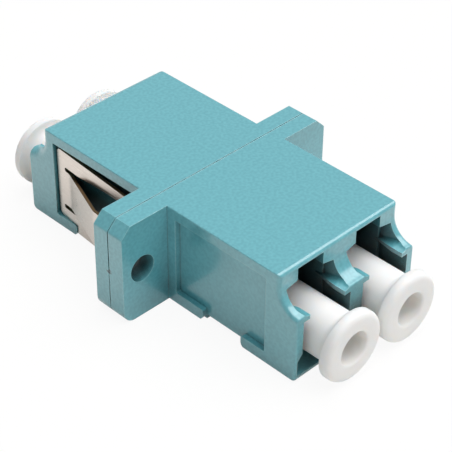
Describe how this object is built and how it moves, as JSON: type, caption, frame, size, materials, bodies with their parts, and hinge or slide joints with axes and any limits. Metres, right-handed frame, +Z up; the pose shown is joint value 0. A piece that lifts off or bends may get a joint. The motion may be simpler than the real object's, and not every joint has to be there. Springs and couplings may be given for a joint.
{
  "type": "duplex fibre optic adapter",
  "caption": "Panel-mount duplex coupler that joins small-form fibre plugs end to end, with flange, spring clip and pull-off dust plugs.",
  "frame": {"origin": "middle of the underside, in the plane where the two housing halves meet inside the flange", "axes": "+X across the two ports, +Y along the fibres towards the half with the spring clip, +Z up towards the latch slots"},
  "size_m": [0.022, 0.0358, 0.009],
  "materials": {
    "aqua_housing_plastic": "satin",
    "white_plug_plastic": "satin",
    "spring_steel": "satin",
    "zirconia": "polished"
  },
  "bodies": {
    "adapter": {"front_housing": "aqua_housing_plastic", "rear_housing": "aqua_housing_plastic", "spring_clip": "spring_steel", "split_sleeve_left": "zirconia", "split_sleeve_right": "zirconia"},
    "plug_front_left": {"dust_plug_front_left": "white_plug_plastic"},
    "plug_front_right": {"dust_plug_front_right": "white_plug_plastic"},
    "plug_rear_left": {"dust_plug_rear_left": "white_plug_plastic"},
    "plug_rear_right": {"dust_plug_rear_right": "white_plug_plastic"}
  },
  "joints": [
    {"name": "front_left_plug_pull", "type": "slide", "parent": "adapter", "child": "plug_front_left", "axis": [0, -1, 0], "range_m": [0, 0.014]},
    {"name": "front_right_plug_pull", "type": "slide", "parent": "adapter", "child": "plug_front_right", "axis": [0, -1, 0], "range_m": [0, 0.014]},
    {"name": "rear_left_plug_pull", "type": "slide", "parent": "adapter", "child": "plug_rear_left", "axis": [0, 1, 0], "range_m": [0, 0.014]},
    {"name": "rear_right_plug_pull", "type": "slide", "parent": "adapter", "child": "plug_rear_right", "axis": [0, 1, 0], "range_m": [0, 0.014]}
  ]
}
